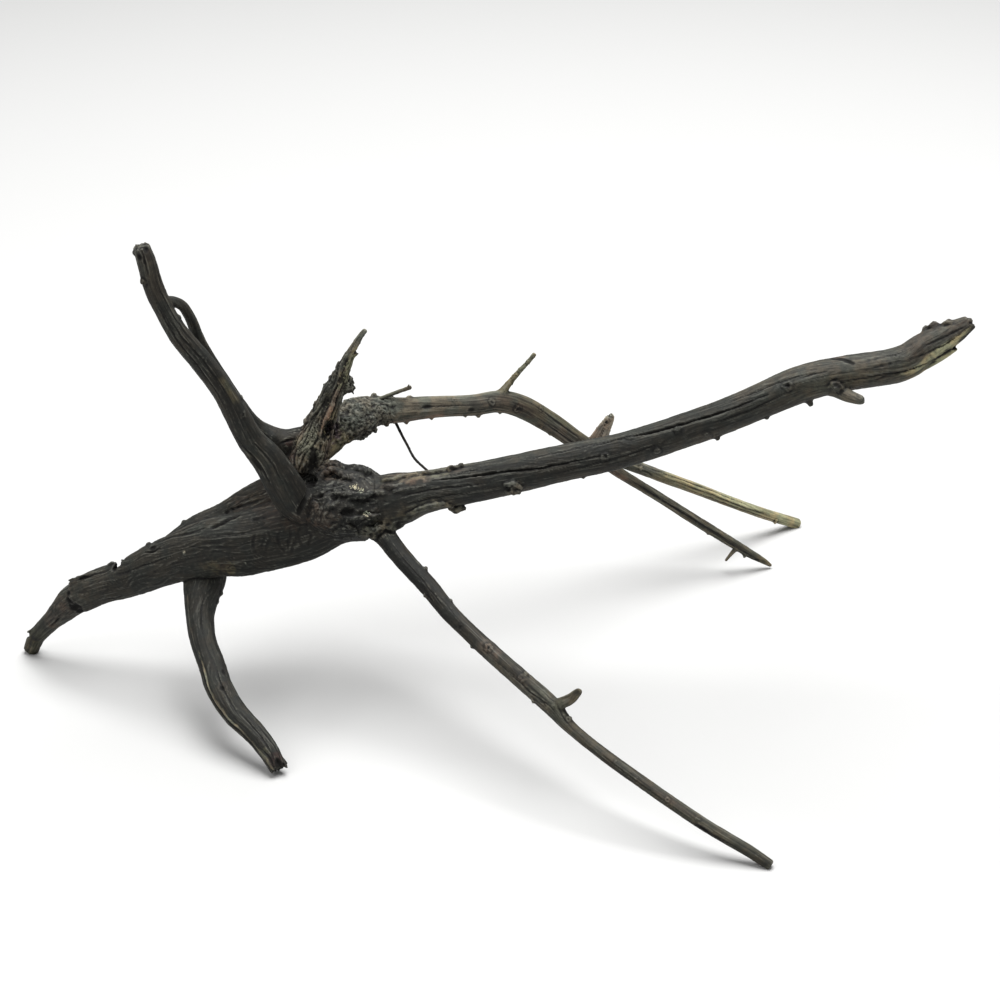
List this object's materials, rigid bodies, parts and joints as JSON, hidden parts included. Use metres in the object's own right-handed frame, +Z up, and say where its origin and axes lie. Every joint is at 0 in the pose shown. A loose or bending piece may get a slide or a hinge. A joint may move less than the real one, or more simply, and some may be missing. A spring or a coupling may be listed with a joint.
{
  "type": "aquarium root wood",
  "caption": "Branching piece of dark weathered root wood that stands on its legs as an aquarium or terrarium hardscape centrepiece.",
  "frame": {"origin": "middle of the overall box, on the surface that the feet stand on", "axes": "+X runs along the long branch, from the left root towards its broken tip; +Y points away from the viewer, towards the back leg's foot; +Z is up"},
  "size_m": [0.6651, 0.4597, 0.3473],
  "materials": {
    "dark_wood": "dry weathered charcoal-brown wood with fine lengthwise grain, cracks and tan bare patches",
    "grey_wood": "smoother weathered grey-brown wood with fine lengthwise grain",
    "rough_bark": "rough, flaking, gnarled bark with olive and tan torn wood",
    "pale_wood": "bare pale olive-tan wood with dark streaks"
  },
  "bodies": {
    "root": {"crown": "dark_wood", "left_root": "dark_wood", "left_leg": "dark_wood", "right_leg": "grey_wood", "long_branch": "dark_wood", "front_horn": "grey_wood", "rear_horn": "grey_wood", "splintered_stump": "rough_bark", "back_branch": "rough_bark", "back_leg": "pale_wood", "back_spear": "grey_wood"}
  },
  "joints": []
}
